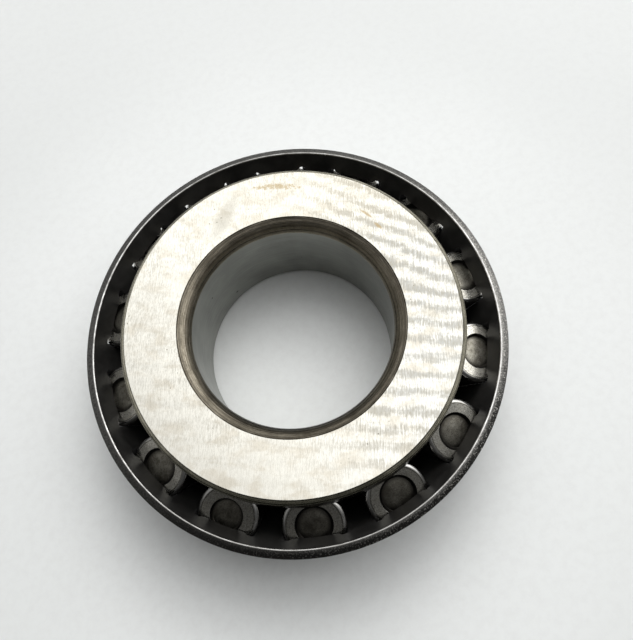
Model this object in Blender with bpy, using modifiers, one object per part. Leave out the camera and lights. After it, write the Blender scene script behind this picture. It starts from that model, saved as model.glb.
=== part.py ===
"""Tapered roller bearing, cone assembly: inner ring, fourteen tapered rollers
and one pressed steel cage.

Frame: metres, +Z along the bearing axis. The origin is on the axis in the
plane of the small (front) face, so the assembly stands on z = 0 and the large
(back) face is at z = RING_WIDTH. Roller 01 lies in the +X half plane.

All rolling surfaces share one apex on the axis, below the front face, so the
rollers roll on the inner ring without slip.
"""
import bpy
import bmesh
from math import asin, atan2, cos, hypot, pi, radians, sin, sqrt, tan
from mathutils import Matrix, Vector

# ---------------------------------------------------------------- dimensions
MM = 0.001

BORE_RADIUS = 19.05 * MM            # shaft of 38.10 mm
RING_WIDTH = 23.698 * MM            # front face to back face

# outer raceway that the rollers are ground for (the outer ring is a separate
# part and is not modelled)
CUP_HALF_ANGLE = radians(27.47)
ROLLER_CORNER_R = 40.40 * MM        # outermost corner of a roller: radius
ROLLER_CORNER_Z = RING_WIDTH - 11.00 * MM

# rollers
ROLLER_COUNT = 14
ROLLER_LARGE_RADIUS = 5.80 * MM
ROLLER_LENGTH = 13.40 * MM
ROLLER_CORNER = 0.80 * MM
DIMPLE_RADIUS = 3.28 * MM
DIMPLE_DEPTH = 0.50 * MM
DIMPLE_CROWN = 0.15 * MM

# running clearances
RACE_GAP = 0.15 * MM                # roller to raceway
RIB_GAP = 0.15 * MM                 # roller large end to thrust rib
SMALL_RIB_GAP = 0.25 * MM           # roller small end to small rib
POCKET_GAP = 0.30 * MM              # roller to cage pocket, sides and small end
POCKET_TOP_GAP = 0.42 * MM          # roller large end to the top of the pocket

# inner ring
BACK_FACE_OUTER = 31.25 * MM        # flat back face, outer edge
BACK_FACE_INNER = 21.39 * MM        # flat back face, inner edge
BACK_CORNER_DEPTH = 2.76 * MM       # bore corner, measured along the axis
RIB_RADIUS = 32.05 * MM             # thrust rib, outside
RIB_CHAMFER = 0.80 * MM
UNDERCUT = 0.45 * MM                # relief between raceway and ribs
SMALL_RIB_RADIUS = 26.20 * MM
FRONT_CHAMFER_OUT = 0.45 * MM
FRONT_CHAMFER_IN = 0.85 * MM

# cage
CAGE_HALF_ANGLE = radians(24.5)
CAGE_WALL = 1.72 * MM
CAGE_RIM_R = 38.72 * MM             # inner corner of the rim
CAGE_RIM_Z = RING_WIDTH - 5.05 * MM
CAGE_EDGE = 0.22 * MM               # broken edges of the rim
CAGE_FOOT_Z = 0.35 * MM             # underside of the inward flange
CAGE_FLANGE = 1.20 * MM
CAGE_FLANGE_R = 27.20 * MM          # opening in the flange

# facets
RING_STEPS = 112
ROLLER_STEPS = 32
POCKET_STEPS = 64

# ------------------------------------------------- geometry from the apex
APEX_Z = ROLLER_CORNER_Z - ROLLER_CORNER_R / tan(CUP_HALF_ANGLE)
CORNER_DIST = hypot(ROLLER_CORNER_R, ROLLER_CORNER_Z - APEX_Z)
HALF_TAPER = asin(ROLLER_LARGE_RADIUS / CORNER_DIST)
ROLLER_TILT = CUP_HALF_ANGLE - HALF_TAPER           # roller axis to +Z
RACE_HALF_ANGLE = ROLLER_TILT - HALF_TAPER
LARGE_END = sqrt(CORNER_DIST ** 2 - ROLLER_LARGE_RADIUS ** 2)
SMALL_END = LARGE_END - ROLLER_LENGTH
MID_ROLLER = 0.5 * (LARGE_END + SMALL_END)


def roller_radius(distance):
    """Radius of the roller's body at a distance from the apex along its axis."""
    return ROLLER_LARGE_RADIUS * distance / LARGE_END


def raceway_radius(z):
    return (z - APEX_Z) * tan(RACE_HALF_ANGLE) - RACE_GAP / cos(RACE_HALF_ANGLE)


def end_plane_z(r, distance):
    """Height at radius r of the plane square to a roller axis."""
    return APEX_Z + (distance - r * sin(ROLLER_TILT)) / cos(ROLLER_TILT)


def cage_inner(z):
    return CAGE_RIM_R + tan(CAGE_HALF_ANGLE) * (z - CAGE_RIM_Z)


def cage_outer(z):
    return cage_inner(z) + CAGE_WALL / cos(CAGE_HALF_ANGLE)


# ------------------------------------------------------------------ helpers
def clear_scene():
    for ob in list(bpy.data.objects):
        bpy.data.objects.remove(ob, do_unlink=True)
    for store in (bpy.data.meshes, bpy.data.curves, bpy.data.materials):
        for item in list(store):
            store.remove(item)
    for coll in list(bpy.data.collections):
        bpy.data.collections.remove(coll)


def new_collection(name):
    coll = bpy.data.collections.new(name)
    bpy.context.scene.collection.children.link(coll)
    return coll


def steel(name, colour, roughness, metallic=1.0):
    mat = bpy.data.materials.new(name)
    mat.use_nodes = True
    shader = mat.node_tree.nodes["Principled BSDF"]
    shader.inputs["Base Color"].default_value = (*colour, 1.0)
    shader.inputs["Roughness"].default_value = roughness
    shader.inputs["Metallic"].default_value = metallic
    mat.diffuse_color = (*colour, 1.0)
    return mat


def profile_mesh(name, points, closed):
    """Edges through (radius, height) points, in the XZ plane."""
    mesh = bpy.data.meshes.new(name)
    bm = bmesh.new()
    verts = [bm.verts.new((r, 0.0, z)) for r, z in points]
    for a, b in zip(verts, verts[1:]):
        bm.edges.new((a, b))
    if closed:
        bm.edges.new((verts[-1], verts[0]))
    bm.to_mesh(mesh)
    bm.free()
    return mesh


def turn(ob, steps):
    """Revolve the profile about the object's own Z axis."""
    mod = ob.modifiers.new("turned", 'SCREW')
    mod.axis = 'Z'
    mod.angle = 2.0 * pi
    mod.screw_offset = 0.0
    mod.steps = steps
    mod.render_steps = steps
    mod.use_merge_vertices = True
    mod.merge_threshold = 0.00001
    mod.use_smooth_shade = True
    return mod


def arc(cr, cz, radius, start, end, count):
    """Points on a circle arc, angles in degrees from +r towards +z."""
    return [(cr + radius * cos(radians(start + (end - start) * i / count)),
             cz + radius * sin(radians(start + (end - start) * i / count)))
            for i in range(count + 1)]


# --------------------------------------------------------------- inner ring
def ring_profile():
    top = RING_WIDTH
    pts = []
    # back face to the outside of the thrust rib, rounded corner
    pts += arc(RIB_RADIUS - RIB_CHAMFER, top - RIB_CHAMFER, RIB_CHAMFER, 90, 0, 3)
    # down the rib, round its lower corner, in along the thrust face
    low = end_plane_z(RIB_RADIUS, LARGE_END + RIB_GAP)
    pts.append((RIB_RADIUS, low + 0.25 * MM))
    pts.append((RIB_RADIUS - 0.25 * MM,
                end_plane_z(RIB_RADIUS - 0.25 * MM, LARGE_END + RIB_GAP)))
    corner_r = LARGE_END * sin(ROLLER_TILT) - ROLLER_LARGE_RADIUS * cos(ROLLER_TILT)
    in_r = corner_r + 0.30 * MM
    in_z = end_plane_z(in_r, LARGE_END + RIB_GAP)
    pts.append((in_r, in_z))
    # relief groove at the foot of the rib
    pts.append((corner_r - UNDERCUT, in_z + 0.10 * MM))
    z = in_z - 1.15 * MM
    pts.append((raceway_radius(z) - UNDERCUT, z + 0.30 * MM))
    pts.append((raceway_radius(z), z))
    # raceway down to the small rib
    end_r = SMALL_END * sin(ROLLER_TILT) - roller_radius(SMALL_END) * cos(ROLLER_TILT)
    z = end_plane_z(end_r, SMALL_END) + 0.55 * MM
    pts.append((raceway_radius(z), z))
    pts.append((raceway_radius(z) - 0.35 * MM, z - 0.45 * MM))
    pts.append((end_r - 0.25 * MM, end_plane_z(end_r - 0.25 * MM, SMALL_END - SMALL_RIB_GAP)))
    pts.append((SMALL_RIB_RADIUS,
                end_plane_z(SMALL_RIB_RADIUS, SMALL_END - SMALL_RIB_GAP)))
    # outside of the small rib, front face
    pts.append((SMALL_RIB_RADIUS, FRONT_CHAMFER_OUT))
    pts.append((SMALL_RIB_RADIUS - FRONT_CHAMFER_OUT, 0.0))
    pts.append((BORE_RADIUS + FRONT_CHAMFER_IN, 0.0))
    pts.append((BORE_RADIUS, FRONT_CHAMFER_IN))
    # bore, and the large rounded corner to the back face
    pts.append((BORE_RADIUS, top - BACK_CORNER_DEPTH))
    drop = BACK_CORNER_DEPTH
    width = BACK_FACE_INNER - BORE_RADIUS
    for i in (1, 2, 3):
        a = radians(12 + (78 - 12) * i / 4.0)
        lo, hi = radians(12), radians(78)
        # convex curve from the bore to the back face, not tangent to either
        u = (cos(lo) - cos(a)) / (cos(lo) - cos(hi))
        v = (sin(a) - sin(lo)) / (sin(hi) - sin(lo))
        pts.append((BORE_RADIUS + width * u, top - drop + drop * v))
    pts.append((BACK_FACE_INNER, top))
    return pts


# ------------------------------------------------------------------ rollers
def roller_profile():
    """Heights are measured from the middle of the roller's length."""
    up = LARGE_END - MID_ROLLER
    down = SMALL_END - MID_ROLLER
    small = roller_radius(SMALL_END)
    k = small / ROLLER_LARGE_RADIUS
    c = ROLLER_CORNER
    cut = c * (1.0 - cos(radians(45)))  # how far the corner's middle is cut back
    return [
        (0.0, up - DIMPLE_DEPTH + DIMPLE_CROWN),
        (0.84 * DIMPLE_RADIUS, up - DIMPLE_DEPTH),
        (DIMPLE_RADIUS, up),
        (ROLLER_LARGE_RADIUS - c, up),
        (ROLLER_LARGE_RADIUS - cut, up - cut),
        (roller_radius(LARGE_END - c), up - c),
        (roller_radius(SMALL_END + c), down + c),
        (small - cut, down + cut),
        (small - c, down),
        (DIMPLE_RADIUS * k, down),
        (0.84 * DIMPLE_RADIUS * k, down + DIMPLE_DEPTH),
        (0.0, down + DIMPLE_DEPTH - DIMPLE_CROWN),
    ]


# --------------------------------------------------------------------- cage
def cage_profile():
    sa, ca = sin(CAGE_HALF_ANGLE), cos(CAGE_HALF_ANGLE)
    along = Vector((sa, ca))            # up the wall
    across = Vector((ca, -sa))          # square to the wall, outwards
    rim_in = Vector((CAGE_RIM_R, CAGE_RIM_Z))
    rim_out = rim_in + across * CAGE_WALL
    e = CAGE_EDGE
    pts = [rim_in + across * e, rim_out - across * e, rim_out - along * e]
    # outside of the wall, bend, underside of the flange
    foot = CAGE_FOOT_Z
    bend = foot + 0.75 * MM
    pts.append(Vector((cage_outer(bend), bend)))
    pts.append(Vector((cage_outer(bend) - 0.32 * MM, foot + 0.25 * MM)))
    pts.append(Vector((cage_outer(bend) - 0.95 * MM, foot)))
    pts.append(Vector((CAGE_FLANGE_R + 0.15 * MM, foot)))
    pts.append(Vector((CAGE_FLANGE_R, foot + 0.15 * MM)))
    pts.append(Vector((CAGE_FLANGE_R, foot + CAGE_FLANGE)))
    # top of the flange, inside of the wall
    inside = foot + CAGE_FLANGE
    pts.append(Vector((cage_inner(inside) - 0.20 * MM, inside)))
    pts.append(Vector((cage_inner(inside + 0.35 * MM), inside + 0.35 * MM)))
    pts.append(rim_in - along * e)
    return [tuple(p) for p in pts]


def pocket_mesh():
    """The roller's own cone with the pocket clearance all round it. Its origin
    is the roller's, so it reaches further up than down."""
    mesh = bpy.data.meshes.new("pocket")
    bm = bmesh.new()
    bmesh.ops.create_cone(
        bm, cap_ends=True, cap_tris=False, segments=POCKET_STEPS,
        radius1=roller_radius(SMALL_END - POCKET_GAP) + POCKET_GAP,
        radius2=roller_radius(LARGE_END + POCKET_TOP_GAP) + POCKET_GAP,
        depth=ROLLER_LENGTH + POCKET_GAP + POCKET_TOP_GAP)
    bmesh.ops.translate(
        bm, verts=bm.verts[:],
        vec=(0.0, 0.0, 0.5 * (POCKET_TOP_GAP - POCKET_GAP)))
    bm.to_mesh(mesh)
    bm.free()
    return mesh


def place_on_roller_axis(ob, azimuth):
    """Origin on the roller's axis at mid length, local Z along the axis."""
    r = MID_ROLLER * sin(ROLLER_TILT)
    ob.location = (r * cos(azimuth), r * sin(azimuth),
                   APEX_Z + MID_ROLLER * cos(ROLLER_TILT))
    ob.rotation_euler = (0.0, ROLLER_TILT, azimuth)


# -------------------------------------------------------------------- build
def main():
    clear_scene()
    parts = new_collection("tapered_roller_bearing")
    cutters = new_collection("cutters")

    ring = bpy.data.objects.new(
        "inner_ring", profile_mesh("inner_ring", ring_profile(), True))
    ring.data.materials.append(steel("ground_steel", (0.72, 0.71, 0.68), 0.32))
    parts.objects.link(ring)
    turn(ring, RING_STEPS)

    cage = bpy.data.objects.new(
        "cage", profile_mesh("cage", cage_profile(), True))
    cage.data.materials.append(steel("black_oxide_steel", (0.03, 0.03, 0.032), 0.30))
    parts.objects.link(cage)
    turn(cage, RING_STEPS)

    roller_shape = profile_mesh("roller", roller_profile(), False)
    roller_shape.materials.append(steel("roller_steel", (0.52, 0.51, 0.49), 0.30))
    pocket_shape = pocket_mesh()
    for i in range(ROLLER_COUNT):
        azimuth = 2.0 * pi * i / ROLLER_COUNT
        roller = bpy.data.objects.new("roller_%02d" % (i + 1), roller_shape)
        parts.objects.link(roller)
        place_on_roller_axis(roller, azimuth)
        turn(roller, ROLLER_STEPS)

        pocket = bpy.data.objects.new("pocket_%02d" % (i + 1), pocket_shape)
        cutters.objects.link(pocket)
        place_on_roller_axis(pocket, azimuth)
        pocket.hide_render = True
        pocket.display_type = 'WIRE'

    cut = cage.modifiers.new("pockets", 'BOOLEAN')
    cut.operation = 'DIFFERENCE'
    cut.solver = 'EXACT'
    cut.operand_type = 'COLLECTION'
    cut.collection = cutters

    bpy.context.view_layer.update()


main()
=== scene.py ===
"""Looks for the tapered roller bearing cone assembly: fine meshes and
procedural steel for the inner ring, the cage and the fourteen rollers,
on a pale floor under soft light from above.

Lengths in the tables below are millimetres; MM turns them into metres.
"""

from math import acos, asin, atan2, cos, degrees, hypot, pi, radians, sin, sqrt, tan

import bpy
import bmesh
import numpy as np
from mathutils import Euler, Matrix, Vector


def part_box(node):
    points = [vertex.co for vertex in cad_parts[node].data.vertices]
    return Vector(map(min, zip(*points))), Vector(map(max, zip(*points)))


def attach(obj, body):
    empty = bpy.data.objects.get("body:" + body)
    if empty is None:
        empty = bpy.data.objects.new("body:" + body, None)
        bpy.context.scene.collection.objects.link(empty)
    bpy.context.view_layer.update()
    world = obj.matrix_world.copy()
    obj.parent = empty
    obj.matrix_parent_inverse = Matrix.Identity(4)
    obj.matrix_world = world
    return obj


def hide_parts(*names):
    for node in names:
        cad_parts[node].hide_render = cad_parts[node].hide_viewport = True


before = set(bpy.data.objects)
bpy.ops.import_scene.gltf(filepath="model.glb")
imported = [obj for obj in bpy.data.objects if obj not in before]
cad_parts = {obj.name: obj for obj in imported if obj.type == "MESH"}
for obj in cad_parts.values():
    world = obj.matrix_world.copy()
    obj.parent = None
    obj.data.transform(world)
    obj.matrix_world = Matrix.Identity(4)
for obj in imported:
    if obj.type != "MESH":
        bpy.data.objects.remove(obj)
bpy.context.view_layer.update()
MM = 0.001

# ------------------------------------------------------------------ the design
_lo, _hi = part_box("inner_ring")
WIDTH = (_hi.z - _lo.z) / MM            # 23.698, front face to back face
BORE = 19.05
N = 14

CUP_HALF = radians(27.47)
CORNER_R, CORNER_Z = 40.40, WIDTH - 11.0
ROLLER_R, ROLLER_L = 5.80, 13.40
APEX = CORNER_Z - CORNER_R / tan(CUP_HALF)
DIST = hypot(CORNER_R, CORNER_Z - APEX)
TAPER = asin(ROLLER_R / DIST)
TILT = CUP_HALF - TAPER
RACE = TILT - TAPER
W_BIG = sqrt(DIST ** 2 - ROLLER_R ** 2)
W_SMALL = W_BIG - ROLLER_L
W_MID = 0.5 * (W_BIG + W_SMALL)

CAGE_HALF = radians(24.5)
CAGE_T = 1.72
RIM_R, RIM_Z = 38.72, WIDTH - 5.05
POCKET = 0.20

# the picture's azimuth of roller 01: the camera and the lights are set out in
# the picture's own axes (x right, y up the picture) and turned back by this
PHASE = radians(19.8)
TO_FRAME = Matrix.Rotation(-PHASE, 4, 'Z')


def roller_radius(w):
    return ROLLER_R * w / W_BIG


def race_r(z):
    return (z - APEX) * tan(RACE) - 0.15 / cos(RACE)


def end_z(r, w):
    return APEX + (w - r * sin(TILT)) / cos(TILT)


# ------------------------------------------------------------- profile helpers
def rounded(points, radii, segs=5):
    """A closed outline with its corners rounded by radii."""
    out, n = [], len(points)
    for i in range(n):
        p = Vector(points[i])
        a, b = Vector(points[i - 1]) - p, Vector(points[(i + 1) % n]) - p
        r = radii[i]
        if r <= 0 or a.length < 1e-6 or b.length < 1e-6:
            out.append(tuple(p))
            continue
        ua, ub = a.normalized(), b.normalized()
        ang = acos(max(-1.0, min(1.0, ua.dot(ub))))
        if ang > pi - 0.02:
            out.append(tuple(p))
            continue
        reach = min(r / tan(ang / 2), 0.48 * a.length, 0.48 * b.length)
        rr = reach * tan(ang / 2)
        centre = p + (ua + ub).normalized() * (rr / sin(ang / 2))
        s, e = p + ua * reach - centre, p + ub * reach - centre
        turn = pi - ang
        k = max(2, int(round(segs * turn / (pi / 2))) + 1)
        cross = s.x * e.y - s.y * e.x
        sign = 1 if cross > 0 else -1
        for j in range(k + 1):
            t = sign * turn * j / k
            out.append((centre.x + s.x * cos(t) - s.y * sin(t),
                        centre.y + s.x * sin(t) + s.y * cos(t)))
    return out


def supported(points, gap=0.05, closed=True):
    """Adds points close to both ends of every long straight run, so smooth
    shading stays inside the rounded corners."""
    out, n = [], len(points)
    last = n if closed else n - 1
    for i in range(last):
        a, b = Vector(points[i]), Vector(points[(i + 1) % n])
        out.append(tuple(a))
        d = (b - a).length
        if d > 6 * gap:
            u = (b - a) / d
            out.append(tuple(a + u * gap))
            out.append(tuple(b - u * gap))
    if not closed:
        out.append(tuple(points[-1]))
    return out


def lathe(name, points, steps, closed=True, wobble=None):
    """A surface of revolution about Z, in metres. points are (r, z)."""
    bm = bmesh.new()
    rings = []
    for r, z in points:
        if r < 1e-6:
            rings.append([bm.verts.new((0, 0, z * MM))])
            continue
        ring = []
        for k in range(steps):
            a = 2 * pi * k / steps
            ring.append(bm.verts.new((r * MM * cos(a), r * MM * sin(a), z * MM)))
        rings.append(ring)
    pairs = list(zip(rings, rings[1:])) + ([(rings[-1], rings[0])] if closed else [])
    for a, b in pairs:
        for k in range(steps):
            k2 = (k + 1) % steps
            if len(a) == 1:
                bm.faces.new((a[0], b[k], b[k2]))
            elif len(b) == 1:
                bm.faces.new((a[k], b[0], a[k2]))
            else:
                bm.faces.new((a[k], b[k], b[k2], a[k2]))
    bmesh.ops.recalc_face_normals(bm, faces=bm.faces[:])
    mesh = bpy.data.meshes.new(name)
    bm.to_mesh(mesh)
    bm.free()
    return mesh


def put_slots(mesh, rule, materials):
    """rule(r, z, normal) in millimetres gives each face's material slot."""
    for m in materials:
        mesh.materials.append(m)
    for p in mesh.polygons:
        c = p.center
        p.material_index = rule(hypot(c.x, c.y) / MM, c.z / MM, p.normal)


def show(name, mesh, body, node, sharp=32):
    mesh.shade_smooth()
    mesh.set_sharp_from_angle(angle=radians(sharp))
    ob = bpy.data.objects.new(name, mesh)
    bpy.context.scene.collection.objects.link(ob)
    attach(ob, body)
    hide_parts(node)
    return ob


# ------------------------------------------------------------------- materials
class Nodes:
    """A small helper for writing node materials."""

    def __init__(self, name):
        self.mat = bpy.data.materials.new(name)
        self.mat.use_nodes = True
        self.nt = self.mat.node_tree
        self.bsdf = self.nt.nodes["Principled BSDF"]

    def new(self, kind, **props):
        n = self.nt.nodes.new(kind)
        for k, v in props.items():
            setattr(n, k, v)
        return n

    def put(self, socket, value):
        if isinstance(value, bpy.types.NodeSocket):
            self.nt.links.new(value, socket)
        else:
            socket.default_value = value

    def set(self, name, value):
        self.put(self.bsdf.inputs[name], value)

    def math(self, op, a, b=0.0, c=0.0, clamp=False):
        n = self.new("ShaderNodeMath", operation=op, use_clamp=clamp)
        for s, v in zip(n.inputs, (a, b, c)):
            self.put(s, v)
        return n.outputs[0]

    def coords(self, scale=1000.0, rot=(0, 0, 0), squeeze=(1, 1, 1)):
        """Object coordinates in millimetres, turned, then squeezed."""
        tc = self.new("ShaderNodeTexCoord")
        m = self.new("ShaderNodeMapping")
        self.put(m.inputs["Vector"], tc.outputs["Object"])
        m.inputs["Rotation"].default_value = rot
        m.inputs["Scale"].default_value = (scale,) * 3
        if squeeze == (1, 1, 1):
            return m.outputs[0]
        return self.scaled(m.outputs[0], squeeze)

    def local(self):
        """The piece's own axes in millimetres, stored on its points."""
        n = self.new("ShaderNodeAttribute", attribute_type='GEOMETRY')
        n.attribute_name = "own_mm"
        return n.outputs["Vector"]

    def scaled(self, vec, by):
        n = self.new("ShaderNodeVectorMath", operation='MULTIPLY')
        self.put(n.inputs[0], vec)
        n.inputs[1].default_value = by
        return n.outputs[0]

    def xyz(self, vec):
        n = self.new("ShaderNodeSeparateXYZ")
        self.put(n.inputs[0], vec)
        return n.outputs[0], n.outputs[1], n.outputs[2]

    def vec(self, x, y, z):
        n = self.new("ShaderNodeCombineXYZ")
        for s, v in zip(n.inputs, (x, y, z)):
            self.put(s, v)
        return n.outputs[0]

    def noise(self, vec, scale=1.0, detail=3.0, rough=0.55, warp=0.0):
        n = self.new("ShaderNodeTexNoise")
        self.put(n.inputs["Vector"], vec)
        n.inputs["Scale"].default_value = scale
        n.inputs["Detail"].default_value = detail
        n.inputs["Roughness"].default_value = rough
        n.inputs["Distortion"].default_value = warp
        return n.outputs[0]

    def spots(self, vec, scale, feature='F1'):
        n = self.new("ShaderNodeTexVoronoi", feature=feature)
        self.put(n.inputs["Vector"], vec)
        n.inputs["Scale"].default_value = scale
        return n.outputs["Distance"]

    def fit(self, v, lo, hi, to_lo=0.0, to_hi=1.0, smooth=False):
        n = self.new("ShaderNodeMapRange",
                     interpolation_type='SMOOTHSTEP' if smooth else 'LINEAR')
        n.clamp = True
        for s, x in zip(n.inputs, (v, lo, hi, to_lo, to_hi)):
            self.put(s, x)
        return n.outputs[0]

    def mix(self, f, a, b, blend='MIX'):
        n = self.new("ShaderNodeMix", data_type='RGBA', blend_type=blend)
        n.clamp_factor = True
        self.put(n.inputs[0], f)
        self.put(n.inputs[6], a if isinstance(a, bpy.types.NodeSocket) else (*a, 1.0))
        self.put(n.inputs[7], b if isinstance(b, bpy.types.NodeSocket) else (*b, 1.0))
        return n.outputs[2]

    def bump(self, height, strength, distance_mm, normal=None):
        n = self.new("ShaderNodeBump")
        n.inputs["Strength"].default_value = strength
        n.inputs["Distance"].default_value = distance_mm * MM
        self.put(n.inputs["Height"], height)
        if normal is not None:
            self.put(n.inputs["Normal"], normal)
        return n.outputs[0]

    def polar(self, vec):
        """(radius, height, x, y) of a coordinate."""
        x, y, z = self.xyz(vec)
        r = self.math('SQRT', self.math('ADD', self.math('MULTIPLY', x, x),
                                        self.math('MULTIPLY', y, y)))
        return r, z, x, y


def ground_face_material(name):
    """Flat ground face: hairlines up the picture, chatter bands across them on
    one side, warm patches, a few pits and a small old stain."""
    k = Nodes(name)
    p = k.coords(rot=(0, 0, PHASE))
    x, y, z = k.xyz(p)
    # grinding grain: short marks up the picture over longer bowed hairlines
    bow = k.math('MULTIPLY', k.noise(p, 0.05, 2.0), 3.0)
    q = k.vec(k.math('ADD', x, bow), y, z)
    hair = k.noise(k.scaled(q, (4.2, 0.50, 0.3)), 1.0, 3.0, 0.6)
    nib = k.noise(k.scaled(q, (6.6, 1.7, 0.3)), 1.0, 1.0, 0.5)
    blot = k.noise(k.scaled(q, (1.3, 0.8, 0.3)), 1.0, 3.0, 0.55)
    fine = k.math('ADD', k.math('MULTIPLY', hair, 0.48),
                  k.math('ADD', k.math('MULTIPLY', nib, 0.34), k.math('MULTIPLY', blot, 0.18)))
    patch = k.noise(k.scaled(p, (0.75, 1.25, 1.0)), 0.30, 4.0, 0.60, 0.3)
    broad = k.noise(p, 0.11, 2.0, 0.5)
    # chatter bands: about 3.2 mm apart, steeper towards the top of the picture
    slope = k.fit(y, -6.0, 16.0, 0.03, 0.44)
    yy = k.math('ADD', y, k.math('MULTIPLY', slope, k.math('SUBTRACT', x, 25.0)))
    yy = k.math('ADD', yy, k.math('MULTIPLY', k.noise(p, 0.13, 2.0), 2.6))
    wave = k.math('SINE', k.math('MULTIPLY', yy, 2 * pi / 3.2))
    comb = k.noise(k.scaled(q, (5.0, 0.14, 0.3)), 1.0, 2.0, 0.5)
    wave = k.math('ADD', wave, k.math('MULTIPLY', k.math('SUBTRACT', comb, 0.5), 4.5))
    wave = k.math('ADD', wave, k.math('MULTIPLY', k.math('SUBTRACT', fine, 0.5), 3.5))
    wave = k.math('ADD', wave, k.math('MULTIPLY', k.math('SUBTRACT', k.noise(k.scaled(p, (0.30, 1.0, 1.0)), 1.0, 3.0, 0.55), 0.5), 4.0))
    band = k.fit(wave, -0.55, 1.35, 0, 1, True)
    side = k.fit(k.math('ADD', x, k.math('MULTIPLY', y, 0.10)), 0.0, 15.0, 0.18, 1.0, True)
    low = k.fit(y, -30.0, -17.0, 0.60, 1.0, True)
    band = k.math('MULTIPLY', band, k.math('MULTIPLY', side, low))
    band = k.math('MAXIMUM', band, k.fit(y, 17.0, 27.0, 0.0, 0.10, True))
    corner = k.fit(k.math('ADD', k.math('MULTIPLY', x, 0.7), y), 12.0, 28.0, 0.0, 1.0, True)
    # colours: bright warm steel, brownish where a patch is, grey in the bands
    base = (FACE[0], FACE[1], FACE[2])

    def shade(f, tint=(1, 1, 1)):
        return tuple(b * f * t for b, t in zip(base, tint))
    col = k.mix(k.fit(x, 4.0, 24.0), base, shade(0.985, (1.0, 1.01, 1.045)))
    col = k.mix(k.math('MULTIPLY', k.fit(patch, 0.45, 0.66, 0, 1, True), 0.72), col,
                shade(0.81, (1.0, 0.950, 0.880)))
    # bands are cooler to the right, browner towards the bottom and the top
    cool = k.mix(k.fit(k.math('ABSOLUTE', y), 12.0, 26.0, 0, 1, True), shade(0.52, (0.98, 1.0, 1.03)),
                 shade(0.58, (1.0, 0.965, 0.90)))
    col = k.mix(k.math('MULTIPLY', band, k.fit(corner, 0.0, 1.0, 0.74, 0.95)), col, cool)
    # the grain: small darker marks, brownish, everywhere, stronger in the bands
    streak = k.fit(fine, 0.455, 0.60, 0.0, 1.0)
    amount = k.fit(broad, 0.35, 0.65, 0.24, 0.44)
    amount = k.math('ADD', amount, k.math('MULTIPLY', band, 0.32))
    amount = k.math('ADD', amount, k.math('MULTIPLY', corner, 0.16))
    amount = k.math('MULTIPLY', amount, k.fit(y, -29.0, -19.0, 0.45, 1.0, True))
    col = k.mix(k.math('MULTIPLY', streak, amount), col, shade(0.50, (1.0, 0.955, 0.86)))
    # a grey smear of crossed hairlines, upper left of the picture
    sx = k.math('DIVIDE', k.math('ADD', k.math('ADD', x, 13.5), k.math('MULTIPLY', k.math('SUBTRACT', y, 22.0), -0.35)), 2.1)
    sy = k.math('DIVIDE', k.math('SUBTRACT', y, 21.5), 5.5)
    d = k.math('ADD', k.math('MULTIPLY', sx, sx), k.math('MULTIPLY', sy, sy))
    smear = k.fit(k.math('ADD', d, k.math('MULTIPLY', hair, 2.2)), 1.15, 2.15, 0.45, 0.0, True)
    col = k.mix(smear, col, shade(0.45, (1.0, 0.95, 0.86)))
    # stain near the top of the picture: thin brown line, broken
    tx = k.math('DIVIDE', k.math('ADD', x, 3.8), 6.2)
    ty = k.math('DIVIDE', k.math('SUBTRACT', y, k.math('MULTIPLY_ADD', k.math('MULTIPLY', tx, tx), -0.55, 28.0)), 0.80)
    d = k.math('ADD', k.math('MULTIPLY', tx, tx), k.math('MULTIPLY', ty, ty))
    grain = k.noise(p, 1.6, 3.0, 0.6)
    stain = k.fit(k.math('ADD', d, k.math('MULTIPLY', grain, 3.4)), 1.7, 2.5, 0.62, 0.0, True)
    col = k.mix(stain, col, shade(0.45, (1.0, 0.74, 0.33)))
    # two more specks of the same stain to the right
    for cx, cy, rx, ry in ((14.2, 21.6, 1.3, 0.35), (16.4, 19.0, 0.9, 0.5)):
        ux = k.math('DIVIDE', k.math('SUBTRACT', x, cx), rx)
        uy = k.math('DIVIDE', k.math('ADD', k.math('SUBTRACT', y, cy), k.math('MULTIPLY', k.math('SUBTRACT', x, cx), 0.75)), ry)
        d = k.math('ADD', k.math('MULTIPLY', ux, ux), k.math('MULTIPLY', uy, uy))
        spot = k.fit(k.math('ADD', d, k.math('MULTIPLY', grain, 1.2)), 0.8, 1.8, 0.65, 0.0, True)
        col = k.mix(spot, col, shade(0.48, (1.0, 0.74, 0.36)))
    # pits, in loose groups
    cell = k.spots(p, 0.62)
    rare = k.fit(k.noise(p, 0.10, 1.0), 0.55, 0.62, 0, 1)
    pit = k.math('MULTIPLY', k.fit(cell, 0.055, 0.11, 1.0, 0.0), rare)
    col = k.mix(k.math('MULTIPLY', pit, 0.8), col, shade(0.22, (1.0, 0.9, 0.75)))
    k.set("Base Color", col)
    k.set("Metallic", 1.0)
    k.set("Roughness", k.math('ADD', k.fit(fine, 0.35, 0.65, 0.20, 0.28), k.math('MULTIPLY', band, 0.05)))
    h = k.math('ADD', k.math('MULTIPLY', fine, 1.0), k.math('MULTIPLY', pit, -1.5))
    k.set("Normal", k.bump(h, 0.30, 0.010))
    return k.mat


FACE = (0.625, 0.607, 0.548)


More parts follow.
